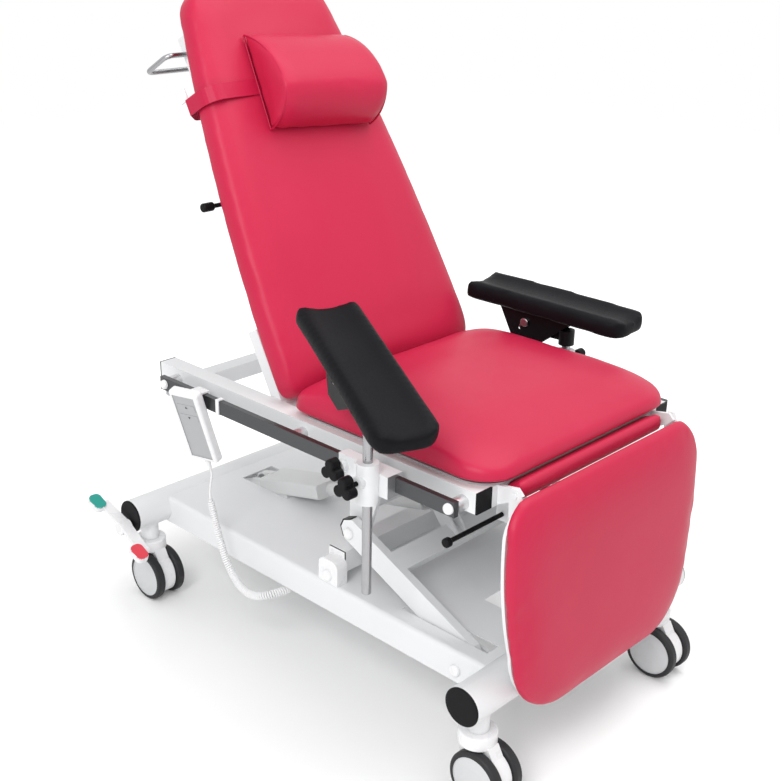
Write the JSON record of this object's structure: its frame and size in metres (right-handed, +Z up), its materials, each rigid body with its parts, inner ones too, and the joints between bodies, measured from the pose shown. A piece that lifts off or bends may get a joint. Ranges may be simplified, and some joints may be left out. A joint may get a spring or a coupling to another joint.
{
  "type": "phlebotomy chair",
  "caption": "Reclining blood-sampling chair on castors with a lifting parallelogram base, legrest, pole-mounted armrests, headrest and hand control.",
  "frame": {"origin": "on the floor under the centre of the wheeled base", "axes": "+Z up, +Y towards the head end, -Y towards the foot end, -X is the side of the hand control"},
  "size_m": [0.79, 1.0447, 1.2067],
  "materials": {
    "black_foam": "soft moulded skin",
    "black_plastic": "matt",
    "board": "plywood",
    "castor_plastic": "smooth moulded light grey",
    "chrome": "polished",
    "dark_paint": "satin black",
    "grey_face": "matt",
    "pedal": "moulded, one green and one red pad",
    "red_upholstery": "smooth coated leatherette",
    "steel": "brushed",
    "strap": "coated band",
    "tyre": "soft matt",
    "white_paint": "smooth light-grey powder coat",
    "white_plastic": "semi-gloss"
  },
  "bodies": {
    "chassis": {"chassis_frame": "white_paint", "tube_end_caps": "black_plastic", "deck_cover": "white_paint", "control_box": "white_plastic", "rest_beam": "white_paint", "handset_lead": "white_plastic"},
    "castor_foot_right_swivel": {"castor_foot_right_housing": "castor_plastic"},
    "castor_foot_right_roll": {"castor_foot_right_wheels": "tyre"},
    "castor_foot_left_swivel": {"castor_foot_left_housing": "castor_plastic"},
    "castor_foot_left_roll": {"castor_foot_left_wheels": "tyre"},
    "castor_head_right_swivel": {"castor_head_right_housing": "castor_plastic"},
    "castor_head_right_roll": {"castor_head_right_wheels": "tyre"},
    "castor_head_left_swivel": {"castor_head_left_housing": "castor_plastic"},
    "castor_head_left_roll": {"castor_head_left_wheels": "tyre"},
    "brake": {"brake_shaft": "steel", "brake_pedal": "pedal"},
    "lift_arms": {"lift_arms": "white_paint", "lift_pins": "white_plastic"},
    "levelling_links": {"levelling_links": "dark_paint"},
    "seat": {"lift_carriage": "white_paint", "seat_frame": "white_paint", "seat_frame_caps": "black_plastic", "side_rails": "steel", "rail_fixings": "chrome", "seat_pan": "board", "seat_cushion": "red_upholstery", "front_roll": "red_upholstery"},
    "drive_rod": {"actuator_rod": "steel"},
    "drive_motor": {"actuator_motor": "dark_paint"},
    "back": {"back_board": "board", "back_cushion": "red_upholstery", "back_frame": "white_paint", "push_handle": "chrome"},
    "back_gas_cylinder": {"back_gas_cylinder": "dark_paint"},
    "back_gas_rod": {"back_gas_rod": "steel"},
    "back_lever": {"back_lever": "black_plastic"},
    "headrest": {"headrest_cushion": "red_upholstery", "headrest_strap": "strap"},
    "leg": {"leg_backing": "white_paint", "leg_cushion": "red_upholstery"},
    "leg_gas_cylinder": {"leg_gas_cylinder": "dark_paint"},
    "leg_gas_rod": {"leg_gas_rod": "steel"},
    "leg_lever": {"leg_lever": "black_plastic"},
    "armrest_right_clamp": {"armrest_right_clamp": "white_paint"},
    "armrest_right_pole": {"armrest_right_pole": "steel"},
    "armrest_right_head": {"armrest_right_head": "dark_paint"},
    "armrest_right_pole_knob": {"armrest_right_pole_knob": "black_plastic"},
    "armrest_right_rail_knob": {"armrest_right_rail_knob": "black_plastic"},
    "armrest_right_pad": {"armrest_right_pad": "black_foam", "armrest_right_bracket": "dark_paint"},
    "armrest_left_clamp": {"armrest_left_clamp": "white_paint"},
    "armrest_left_pole": {"armrest_left_pole": "steel"},
    "armrest_left_head": {"armrest_left_head": "dark_paint"},
    "armrest_left_pole_knob": {"armrest_left_pole_knob": "black_plastic"},
    "armrest_left_rail_knob": {"armrest_left_rail_knob": "black_plastic"},
    "armrest_left_pad": {"armrest_left_pad": "black_foam", "armrest_left_bracket": "dark_paint"},
    "handset": {"handset_shell": "white_plastic"},
    "key_raise": {"handset_key_raise": "grey_face"},
    "key_lower": {"handset_key_lower": "grey_face"}
  },
  "joints": [
    {"name": "castor_foot_right_swivel", "type": "hinge", "parent": "chassis", "child": "castor_foot_right_swivel", "pos_m": [-0.254, -0.4395, 0.11], "axis": [0, 0, 1], "continuous": true},
    {"name": "castor_foot_right_roll", "type": "hinge", "parent": "castor_foot_right_swivel", "child": "castor_foot_right_roll", "pos_m": [-0.254, -0.4595, 0.05], "axis": [1, 0, 0], "continuous": true},
    {"name": "castor_foot_left_swivel", "type": "hinge", "parent": "chassis", "child": "castor_foot_left_swivel", "pos_m": [0.254, -0.4395, 0.11], "axis": [0, 0, 1], "continuous": true},
    {"name": "castor_foot_left_roll", "type": "hinge", "parent": "castor_foot_left_swivel", "child": "castor_foot_left_roll", "pos_m": [0.254, -0.4595, 0.05], "axis": [1, 0, 0], "continuous": true},
    {"name": "castor_head_right_swivel", "type": "hinge", "parent": "chassis", "child": "castor_head_right_swivel", "pos_m": [-0.254, 0.4395, 0.11], "axis": [0, 0, 1], "continuous": true},
    {"name": "castor_head_right_roll", "type": "hinge", "parent": "castor_head_right_swivel", "child": "castor_head_right_roll", "pos_m": [-0.254, 0.4195, 0.05], "axis": [1, 0, 0], "continuous": true},
    {"name": "castor_head_left_swivel", "type": "hinge", "parent": "chassis", "child": "castor_head_left_swivel", "pos_m": [0.254, 0.4395, 0.11], "axis": [0, 0, 1], "continuous": true},
    {"name": "castor_head_left_roll", "type": "hinge", "parent": "castor_head_left_swivel", "child": "castor_head_left_roll", "pos_m": [0.254, 0.4195, 0.05], "axis": [1, 0, 0], "continuous": true},
    {"name": "brake_rock", "type": "hinge", "parent": "chassis", "child": "brake", "pos_m": [-0.317, 0.4395, 0.168], "axis": [1, 0, 0], "range_deg": [-47, 0]},
    {"name": "lift_raise", "type": "hinge", "parent": "chassis", "child": "lift_arms", "pos_m": [0, -0.361, 0.178], "axis": [1, 0, 0], "range_deg": [0, 30]},
    {"name": "link_turn", "type": "hinge", "parent": "chassis", "child": "levelling_links", "pos_m": [0, -0.361, 0.154], "axis": [1, 0, 0], "range_deg": [-1, 31]},
    {"name": "seat_level", "type": "hinge", "parent": "lift_arms", "child": "seat", "pos_m": [0, -0.076, 0.306], "axis": [1, 0, 0], "range_deg": [-31, 1]},
    {"name": "drive_rod_turn", "type": "hinge", "parent": "lift_arms", "child": "drive_rod", "pos_m": [-0.012, -0.14036, 0.32379], "axis": [1, 0, 0], "range_deg": [-38, 1]},
    {"name": "drive_extend", "type": "slide", "parent": "drive_rod", "child": "drive_motor", "axis": [0, 0.9712, -0.2383], "range_m": [-0.002, 0.124]},
    {"name": "back_recline", "type": "hinge", "parent": "seat", "child": "back", "pos_m": [0, 0.06, 0.515], "axis": [1, 0, 0], "range_deg": [-61, 0]},
    {"name": "back_gas_turn", "type": "hinge", "parent": "seat", "child": "back_gas_cylinder", "pos_m": [0.19, -0.2, 0.472], "axis": [1, 0, 0], "range_deg": [-2, 1]},
    {"name": "back_gas_extend", "type": "slide", "parent": "back_gas_cylinder", "child": "back_gas_rod", "axis": [0, 1, -0.0003], "range_m": [-0.0515, 0.001]},
    {"name": "back_lever_pull", "type": "slide", "parent": "back", "child": "back_lever", "axis": [-1, 0, 0], "range_m": [0, 0.008], "stiffness_N_per_m": 600, "springref_m": -0.004},
    {"name": "headrest_height", "type": "slide", "parent": "back", "child": "headrest", "axis": [0, 0.4827, 0.8758], "range_m": [0, 0.04]},
    {"name": "leg_raise", "type": "hinge", "parent": "seat", "child": "leg", "pos_m": [0, -0.455, 0.527], "axis": [1, 0, 0], "range_deg": [-88, 0]},
    {"name": "leg_gas_turn", "type": "hinge", "parent": "seat", "child": "leg_gas_cylinder", "pos_m": [-0.07, -0.285, 0.472], "axis": [1, 0, 0], "range_deg": [-7, 1]},
    {"name": "leg_gas_extend", "type": "slide", "parent": "leg_gas_cylinder", "child": "leg_gas_rod", "axis": [0, -0.9997, 0.026], "range_m": [-0.001, 0.077]},
    {"name": "leg_lever_pull", "type": "slide", "parent": "seat", "child": "leg_lever", "axis": [-1, 0, 0], "range_m": [0, 0.008], "stiffness_N_per_m": 600, "springref_m": -0.004},
    {"name": "armrest_right_rail_slide", "type": "slide", "parent": "seat", "child": "armrest_right_clamp", "axis": [0, 1, 0], "range_m": [-0.09, 0.1]},
    {"name": "armrest_right_height", "type": "slide", "parent": "armrest_right_clamp", "child": "armrest_right_pole", "axis": [0, 0, 1], "range_m": [0, 0.12]},
    {"name": "armrest_right_swivel", "type": "hinge", "parent": "armrest_right_pole", "child": "armrest_right_head", "pos_m": [-0.318, -0.25, 0.656], "axis": [0, 0, 1], "range_deg": [-60, 25]},
    {"name": "armrest_right_tilt", "type": "hinge", "parent": "armrest_right_head", "child": "armrest_right_pad", "pos_m": [-0.28733, -0.17331, 0.656], "axis": [0.9285, -0.3714, 0], "range_deg": [-20, 2]},
    {"name": "armrest_right_pole_knob_turn", "type": "hinge", "parent": "armrest_right_clamp", "child": "armrest_right_pole_knob", "pos_m": [-0.366, -0.25, 0.518], "axis": [1, 0, 0], "range_deg": [-180, 180]},
    {"name": "armrest_right_rail_knob_turn", "type": "hinge", "parent": "armrest_right_clamp", "child": "armrest_right_rail_knob", "pos_m": [-0.323, -0.177, 0.51], "axis": [1, 0, 0], "range_deg": [-180, 180]},
    {"name": "armrest_left_rail_slide", "type": "slide", "parent": "seat", "child": "armrest_left_clamp", "axis": [0, 1, 0], "range_m": [-0.18, 0.018]},
    {"name": "armrest_left_height", "type": "slide", "parent": "armrest_left_clamp", "child": "armrest_left_pole", "axis": [0, 0, 1], "range_m": [0, 0.18]},
    {"name": "armrest_left_swivel", "type": "hinge", "parent": "armrest_left_pole", "child": "armrest_left_head", "pos_m": [0.318, -0.158, 0.59], "axis": [0, 0, 1], "range_deg": [-60, 0]},
    {"name": "armrest_left_tilt", "type": "hinge", "parent": "armrest_left_head", "child": "armrest_left_pad", "pos_m": [0.31094, -0.0757, 0.59], "axis": [0.9963, 0.0854, 0], "range_deg": [-10, 2.5]},
    {"name": "armrest_left_pole_knob_turn", "type": "hinge", "parent": "armrest_left_clamp", "child": "armrest_left_pole_knob", "pos_m": [0.366, -0.158, 0.518], "axis": [1, 0, 0], "range_deg": [-180, 180]},
    {"name": "armrest_left_rail_knob_turn", "type": "hinge", "parent": "armrest_left_clamp", "child": "armrest_left_rail_knob", "pos_m": [0.323, -0.085, 0.51], "axis": [1, 0, 0], "range_deg": [-180, 180]},
    {"name": "handset_lift_off", "type": "slide", "parent": "seat", "child": "handset", "axis": [-0.2, 0, 0.9798], "range_m": [0, 0.012]},
    {"name": "key_raise_press", "type": "slide", "parent": "handset", "child": "key_raise", "axis": [0.9384, 0.1995, 0.2823], "range_m": [0, 0.0007], "stiffness_N_per_m": 400, "springref_m": -0.0005},
    {"name": "key_lower_press", "type": "slide", "parent": "handset", "child": "key_lower", "axis": [0.9384, 0.1995, 0.2823], "range_m": [0, 0.0007], "stiffness_N_per_m": 400, "springref_m": -0.0005}
  ],
  "couplings": [
    {"joint": "link_turn", "follows": "lift_raise", "ratio": 1},
    {"joint": "seat_level", "follows": "lift_raise", "ratio": -1},
    {"joint": "drive_rod_turn", "follows": "lift_raise", "ratio": -1.217},
    {"joint": "drive_extend", "follows": "lift_raise", "m_per_rad": 0.2308},
    {"joint": "back_gas_turn", "follows": "back_recline", "ratio": 0.0182},
    {"joint": "back_gas_extend", "follows": "back_recline", "m_per_rad": 0.0475},
    {"joint": "leg_gas_turn", "follows": "leg_raise", "ratio": 0.0565},
    {"joint": "leg_gas_extend", "follows": "leg_raise", "m_per_rad": -0.04904}
  ]
}
